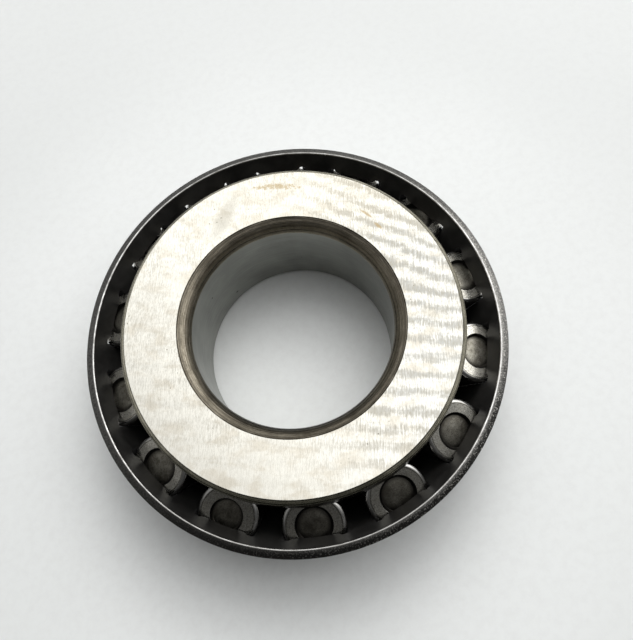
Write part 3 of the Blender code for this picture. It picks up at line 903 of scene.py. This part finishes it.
def sector_grid(t):
    """One pocket's share of a wall surface as a grid of (s, angle), with the
    pocket's rounded outline on grid lines and the rest relaxed between."""
    i1, i2 = ROWS_TOP, ROWS_TOP + 2 * ROWS_FILLET + ROWS_MID
    rows = i2 + ROWS_LOW
    j1 = COLS_BAR
    j2 = COLS_BAR + 2 * COLS_FILLET + COLS_MID
    cols = j2 + COLS_BAR
    half = pi / N
    r_mid = wall_point(0.5 * (S_TOP + S_LOW), t)[0]

    def side(s):
        return pocket_half_angle(s, t)
    # quarter-turn corner: points at 45 degrees and along each leg
    def fillet_pt(s0, ds, sgn, ang):
        """Corner at depth s0 (ds=+1 below it is the pocket), side sgn."""
        cs = s0 + ds * FILLET
        w = side(cs)
        r = wall_point(cs, t)[0]
        s = cs - ds * FILLET * sin(ang)
        a = sgn * (w - (FILLET * (1 - cos(ang))) / r)
        return s, a
    S = np.full((rows + 1, cols + 1), np.nan)
    A = np.full((rows + 1, cols + 1), np.nan)
    for sgn, j in ((-1, j1), (1, j2)):
        for q in range(ROWS_FILLET + 1):
            ang = radians(45) * (1 - q / ROWS_FILLET)
            S[i1 + q, j], A[i1 + q, j] = fillet_pt(S_TOP, 1, sgn, ang)
            S[i2 - q, j], A[i2 - q, j] = fillet_pt(S_LOW, -1, sgn, ang)
        s_a, s_b = S_TOP + FILLET, S_LOW - FILLET
        for q in range(1, ROWS_MID):
            s = s_a + (s_b - s_a) * q / ROWS_MID
            S[i1 + ROWS_FILLET + q, j] = s
            A[i1 + ROWS_FILLET + q, j] = sgn * side(s)
    for i, s0, ds in ((i1, S_TOP, 1), (i2, S_LOW, -1)):
        for sgn, j, step in ((-1, j1, 1), (1, j2, -1)):
            for q in range(1, COLS_FILLET + 1):
                ang = radians(45) + radians(45) * q / COLS_FILLET
                S[i, j + step * q], A[i, j + step * q] = fillet_pt(s0, ds, sgn, ang)
        a0, a1 = A[i, j1 + COLS_FILLET], A[i, j2 - COLS_FILLET]
        for q in range(1, COLS_MID):
            S[i, j1 + COLS_FILLET + q] = s0
            A[i, j1 + COLS_FILLET + q] = a0 + (a1 - a0) * q / COLS_MID
            near = min(q, COLS_MID - q)
            if ds > 0:
                x = TOP_COLS[near - 1] if near < 6 else 9.0
                f = min(1.0, max(0.0, (x - 1.12) / 0.85))
                S[i, j1 + COLS_FILLET + q] = s0 + TOP_DIP * f * f * (3 - 2 * f)
                if near < 6:
                    a = side(S_TOP + FILLET) - x / wall_point(S_TOP, t)[0]
                    A[i, j1 + COLS_FILLET + q] = -a if q < 6 else a
    # sector edges
    row_s = [S_TOP * i / i1 for i in range(i1)]
    row_s += [S_TOP + (S_LOW - S_TOP) * i / (i2 - i1) for i in range(i2 - i1)]
    row_s += [S_LOW + (S_END - S_LOW) * i / ROWS_LOW for i in range(ROWS_LOW + 1)]
    row_s[0] = 0.27 if t == 0.0 else 0.12
    for i in range(rows + 1):
        for j, a in ((0, -half), (cols, half)):
            S[i, j], A[i, j] = row_s[i], a
    for i in (0, rows):
        for j in range(cols + 1):
            S[i, j] = row_s[i]
            A[i, j] = -half + 2 * half * j / cols
    fixed = ~np.isnan(S)
    inside = np.zeros_like(fixed)
    inside[i1 + 1:i2, j1 + 1:j2] = True
    # first guess, then relax
    for i in range(rows + 1):
        for j in range(cols + 1):
            if not fixed[i, j]:
                S[i, j] = row_s[i]
                A[i, j] = -half + 2 * half * j / cols
    free = ~fixed & ~inside
    for _ in range(500):
        Sn, An = S.copy(), A.copy()
        Sn[1:-1, 1:-1] = (S[:-2, 1:-1] + S[2:, 1:-1] + S[1:-1, :-2] + S[1:-1, 2:]) / 4
        An[1:-1, 1:-1] = (A[:-2, 1:-1] + A[2:, 1:-1] + A[1:-1, :-2] + A[1:-1, 2:]) / 4
        S[free], A[free] = Sn[free], An[free]
    return S, A, (i1, i2, j1, j2)


def cage():
    grid_in, grid_out = sector_grid(0.0), sector_grid(CAGE_T)
    i1, i2, j1, j2 = grid_in[2]
    rows, cols = grid_in[0].shape[0] - 1, grid_in[0].shape[1] - 1
    total = cols * N
    bm = bmesh.new()

    def make(r, z, a):
        return bm.verts.new((r * cos(a) * MM, r * sin(a) * MM, z * MM))

    def wall_rows(grid, t):
        S, A, _ = grid
        out = [[None] * total for _ in range(rows + 1)]
        for k in range(N):
            base = 2 * pi * k / N
            for i in range(rows + 1):
                for j in range(cols):
                    if i1 < i < i2 and j1 < j < j2:
                        continue
                    p = wall_point(S[i, j], t)
                    out[i][k * cols + j] = make(p.x, p.y, base + A[i, j])
        return out
    inner, outer = wall_rows(grid_in, 0.0), wall_rows(grid_out, CAGE_T)

    def ring(r, z):
        return [make(r, z, 2 * pi * (c // cols) / N - pi / N + 2 * pi / N * (c % cols) / cols)
                for c in range(total)]
    # flange: from the inner wall's foot round the opening to the outer wall's
    foot, top = 0.35, 1.55
    a = wall_point(S_END, 0.0)
    b = wall_point(S_END, CAGE_T)
    lip = 27.20
    chain = [tuple(a), (a.x - 0.30, top), (lip, top), (lip, foot), (b.x - 0.60, foot), tuple(b)]
    path = rounded(chain, [0, 0.22, 0.28, 0.28, 0.85, 0], 5)[1:-1]
    path = supported([tuple(a)] + path + [tuple(b)], 0.06, closed=False)[1:-1]
    flange = [ring(r, z) for r, z in path]
    # rim: inner corner, sheared face, outer corner
    e, e_in = 0.12, 0.27
    rim_pts = []
    for q in range(1, 6):
        g = radians(90 * q / 6)
        rim_pts.append(wall_point(e_in - e_in * sin(g), e_in - e_in * cos(g)))
    rim_pts.append(wall_point(0.0, e_in))
    for q in range(1, 5):
        rim_pts.append(wall_point(0.0, e_in + (CAGE_T - e - e_in) * q / 5))
    rim_pts.append(wall_point(0.0, CAGE_T - e))
    for q in range(1, 6):
        g = radians(90 * q / 6)
        rim_pts.append(wall_point(e - e * cos(g), CAGE_T - e + e * sin(g)))
    rim = [ring(p.x, p.y) for p in rim_pts]

    def band(ra, rb, gap=None):
        for c in range(total):
            c2 = (c + 1) % total
            quad = (ra[c], ra[c2], rb[c2], rb[c])
            if None not in quad:
                bm.faces.new(quad)
    for rows_of in (inner, outer):
        for i in range(rows):
            for c in range(total):
                j = c % cols
                if i1 <= i < i2 and j1 <= j < j2:
                    continue
                c2 = (c + 1) % total
                bm.faces.new((rows_of[i][c], rows_of[i][c2],
                              rows_of[i + 1][c2], rows_of[i + 1][c]))
    chain_rows = [inner[rows]] + flange + [outer[rows]]
    for ra, rb in zip(chain_rows, chain_rows[1:]):
        band(ra, rb)
    chain_rows = [inner[0]] + rim + [outer[0]]
    for ra, rb in zip(chain_rows, chain_rows[1:]):
        band(ra, rb)
    # pocket walls
    walls = []
    for k in range(N):
        o = k * cols
        loop = [(i1, j) for j in range(j1, j2)] + [(i, j2) for i in range(i1, i2)] \
            + [(i2, j) for j in range(j2, j1, -1)] + [(i, j1) for i in range(i2, i1, -1)]
        for (ia, ja), (ib, jb) in zip(loop, loop[1:] + loop[:1]):
            walls.append(bm.faces.new((inner[ia][o + ja], inner[ib][o + jb],
                                       outer[ib][o + jb], outer[ia][o + ja])))
    bmesh.ops.recalc_face_normals(bm, faces=bm.faces[:])
    for f in bm.faces:
        f.material_index = 0
    for f in walls:
        f.material_index = 3
    # the rim
    bm.verts.index_update()
    rim_set = set()
    for n_row, row in enumerate(rim):
        for v in row:
            rim_set.add(v.index)
    edge_rows = {v.index: q for q, row in enumerate(rim) for v in row}
    inner0 = {v.index for v in inner[0]}
    outer0 = {v.index for v in outer[0]}
    for f in bm.faces:
        ids = [v.index for v in f.verts]
        if any(i in rim_set for i in ids):
            qs = [edge_rows[i] for i in ids if i in edge_rows]
            if any(i in inner0 for i in ids) or max(qs) <= 5:
                f.material_index = 2
            elif any(i in outer0 for i in ids) or min(qs) >= 12:
                f.material_index = 0
            else:
                f.material_index = 1
    # small dents in the rim
    rng = np.random.RandomState(3)
    dents = [(radians(283.0) - PHASE, 0.30, 0.55), (radians(172) - PHASE, 0.18, 0.8)]
    for _ in range(16):
        dents.append((rng.uniform(0, 2 * pi), rng.uniform(0.03, 0.09), rng.uniform(0.25, 0.7)))
    for v in bm.verts:
        if v.index in rim_set or v.index in inner0:
            ang = atan2(v.co.y, v.co.x)
            for at, deep, wide in dents:
                d = (ang - at + pi) % (2 * pi) - pi
                dist = abs(d) * 39.5
                if dist < wide:
                    f = 0.5 + 0.5 * cos(pi * dist / wide)
                    q = edge_rows.get(v.index, 0)
                    near = max(0.0, 1 - q / 9.0)
                    v.co.z -= deep * f * near * MM
    mesh = bpy.data.meshes.new("cage_fine")
    bm.to_mesh(mesh)
    bm.free()
    for m in (oxide_material("cage_black_oxide"), sheared_material("cage_sheared_edge"),
              bright_edge_material("cage_burnished_edge"), cut_material("cage_pocket_cut")):
        mesh.materials.append(m)
    ob = show("cage_fine", mesh, "cage", "cage", sharp=60)
    bev = ob.modifiers.new("pocket_edges", 'BEVEL')
    bev.width = 0.08 * MM
    bev.segments = 2
    bev.limit_method = 'ANGLE'
    bev.angle_limit = radians(55)
    bev.use_clamp_overlap = True
    bev.harden_normals = False
    bev.material = 3


# -------------------------------------------------- floor, lights and camera
def floor():
    k = Nodes("paper_floor")
    p = k.coords()
    cloud = k.noise(p, 0.02, 3.0, 0.5)
    fibre = k.noise(p, 0.55, 5.0, 0.65)
    col = k.mix(k.fit(cloud, 0.3, 0.7), (0.755, 0.768, 0.757), (0.785, 0.796, 0.786))
    col = k.mix(k.fit(fibre, 0.42, 0.68, 0.0, 0.30), col, (0.66, 0.66, 0.65))
    # painted shade: the paper darkens further from the bearing, where less light falls
    away, _, _, _ = k.polar(p)
    col = k.mix(k.fit(away, 46.0, 96.0, 0.0, 0.42, True), col, (0.600, 0.608, 0.600))
    k.set("Base Color", col)
    k.set("Roughness", 0.6)
    k.set("Normal", k.bump(fibre, 0.1, 0.03))
    mesh = bpy.data.meshes.new("floor")
    bm = bmesh.new()
    bmesh.ops.create_grid(bm, x_segments=2, y_segments=2, size=2.5)
    bm.to_mesh(mesh)
    bm.free()
    mesh.materials.append(k.mat)
    ob = bpy.data.objects.new("floor", mesh)
    ob.location = (0, 0, -0.00002)
    bpy.context.scene.collection.objects.link(ob)


def area(name, at, to, size, radiance, colour=(1, 1, 1)):
    """A soft light in the picture's axes: metres, x right, y up the picture."""
    data = bpy.data.lights.new(name, 'AREA')
    data.shape = 'RECTANGLE'
    data.size, data.size_y = size
    data.energy = radiance * pi * size[0] * size[1]
    data.color = colour
    ob = bpy.data.objects.new(name, data)
    at, to = Vector(at), Vector(to)
    rot = (to - at).to_track_quat('-Z', 'Y').to_matrix().to_4x4()
    ob.matrix_world = TO_FRAME @ Matrix.Translation(at) @ rot
    bpy.context.scene.collection.objects.link(ob)
    return ob


def lights():
    """A soft ceiling glow up the picture, one broad window low behind it, and
    dim surroundings elsewhere, all in the picture's axes."""
    area("window", (0.12, 0.42, 0.46), (0, 0, 0.01), (0.42, 0.22), 1.9, (1.0, 0.995, 0.98))
    # a second, steeper one lights only the paper and the oxide
    key = area("key", (0.06, 0.31, 0.51), (0, 0, 0.0), (0.30, 0.30), 3.3, (1.0, 0.998, 0.99))
    key.visible_glossy = False
    world = bpy.data.worlds.new("studio")
    bpy.context.scene.world = world
    world.use_nodes = True
    nt = world.node_tree
    bg = nt.nodes["Background"]

    def node(kind, **props):
        n = nt.nodes.new(kind)
        for key, value in props.items():
            setattr(n, key, value)
        return n
    tc = node("ShaderNodeTexCoord")
    turn = node("ShaderNodeMapping")
    turn.inputs["Rotation"].default_value = (0, 0, PHASE)
    nt.links.new(tc.outputs["Generated"], turn.inputs["Vector"])
    dot = node("ShaderNodeVectorMath", operation='DOT_PRODUCT')
    nt.links.new(turn.outputs[0], dot.inputs[0])
    dot.inputs[1].default_value = Vector(GLOW_AXIS).normalized()
    half = node("ShaderNodeMath", operation='MULTIPLY_ADD')
    nt.links.new(dot.outputs["Value"], half.inputs[0])
    half.inputs[1].default_value = 0.5
    half.inputs[2].default_value = 0.5
    ramp = node("ShaderNodeValToRGB")
    nt.links.new(half.outputs[0], ramp.inputs[0])
    top = max(v for _, v in GLOW)
    els = ramp.color_ramp.elements
    while len(els) < len(GLOW):
        els.new(0.5)
    for el, (at, value) in zip(els, GLOW):
        el.position = 0.5 * at + 0.5
        v = value / top
        el.color = (v * 0.99, v * 0.997, v, 1.0)
    ramp.color_ramp.interpolation = 'LINEAR'
    # the glow fades towards the horizon
    sep = node("ShaderNodeSeparateXYZ")
    nt.links.new(tc.outputs["Generated"], sep.inputs[0])
    rise = node("ShaderNodeMapRange", interpolation_type='SMOOTHSTEP')
    nt.links.new(sep.outputs[2], rise.inputs[0])
    for i, v in enumerate(HORIZON, 1):
        rise.inputs[i].default_value = v
    level = node("ShaderNodeMath", operation='MULTIPLY')
    nt.links.new(rise.outputs[0], level.inputs[0])
    level.inputs[1].default_value = top
    glow = node("ShaderNodeVectorMath", operation='SCALE')
    nt.links.new(ramp.outputs[0], glow.inputs[0])
    nt.links.new(level.outputs[0], glow.inputs[3])
    # faint pale walls to the left and the right of the picture
    lobes = []
    for axis, start, level in WALLS:
        dot = node("ShaderNodeVectorMath", operation='DOT_PRODUCT')
        nt.links.new(turn.outputs[0], dot.inputs[0])
        dot.inputs[1].default_value = Vector(axis).normalized()
        lobe = node("ShaderNodeMapRange", interpolation_type='SMOOTHSTEP')
        nt.links.new(dot.outputs["Value"], lobe.inputs[0])
        for i, v in enumerate((start, 1.0, 0.0, level), 1):
            lobe.inputs[i].default_value = v
        lobes.append(lobe)
    side = node("ShaderNodeMath", operation='ADD')
    nt.links.new(lobes[0].outputs[0], side.inputs[0])
    nt.links.new(lobes[1].outputs[0], side.inputs[1])
    both = node("ShaderNodeVectorMath", operation='ADD')
    nt.links.new(glow.outputs[0], both.inputs[0])
    nt.links.new(side.outputs[0], both.inputs[1])
    nt.links.new(both.outputs[0], bg.inputs[0])
    bg.inputs[1].default_value = 1.0
    bpy.context.scene.view_settings.view_transform = 'Standard'
    bpy.context.scene.view_settings.look = 'None'


GLOW_AXIS = (0.22, 0.60, 0.77)
# brightness against the cosine of the angle from that axis
GLOW = [(-1.0, 0.07), (-0.20, 0.075), (0.10, 0.075), (0.30, 0.085), (0.42, 0.15), (0.52, 0.28),
        (0.60, 0.44), (0.70, 0.88), (0.80, 1.88), (0.87, 2.12), (0.94, 1.92), (1.0, 1.62)]
HORIZON = (0.22, 0.62, 0.25, 1.0)       # from z, to z, from factor, to factor
WALLS = (((-0.90, 0.05, 0.45), 0.72, 0.24), ((0.84, 0.45, 0.30), 0.76, 0.62))


def camera():
    """Seen from above, tipped 23.8 degrees towards the bottom of the picture."""
    focal, tilt, phi = 698.0, radians(23.81), radians(79.45)
    cx, cy, dist = 290.7, 320.5, 0.1283
    px, py = 312.4, 250.0
    width, height = 633, 640
    r0 = np.diag([1.0, -1.0, -1.0])
    a = np.array([cos(phi), sin(phi)])
    u, w = np.array([a[0], a[1], 0.0]), np.array([0.0, 0.0, 1.0])
    n = np.cross(u, w)
    r = (np.outer(n, n) + np.outer(u * cos(tilt) - w * sin(tilt), u)
         + np.outer(u * sin(tilt) + w * cos(tilt), w))
    rc = r @ r0
    t = np.array([(cx - px) / focal * dist, (cy - py) / focal * dist, dist])
    at = -rc.T @ t + np.array([0, 0, WIDTH * MM])
    m = Matrix.Identity(4)
    for i in range(3):
        m[i][0], m[i][1], m[i][2], m[i][3] = rc[0][i], -rc[1][i], -rc[2][i], at[i]
    data = bpy.data.cameras.new("camera")
    data.sensor_width = 36.0
    data.sensor_fit = 'AUTO'
    data.lens = 36.0 * focal / max(width, height)
    data.shift_x = (width / 2 - px) / max(width, height)
    data.shift_y = (py - height / 2) / max(width, height)
    data.clip_start, data.clip_end = 0.005, 10.0
    ob = bpy.data.objects.new("camera", data)
    ob.matrix_world = TO_FRAME @ m
    bpy.context.scene.collection.objects.link(ob)
    bpy.context.scene.camera = ob


camera()
inner_ring()
rollers()
cage()
floor()
lights()

bpy.context.view_layer.update()
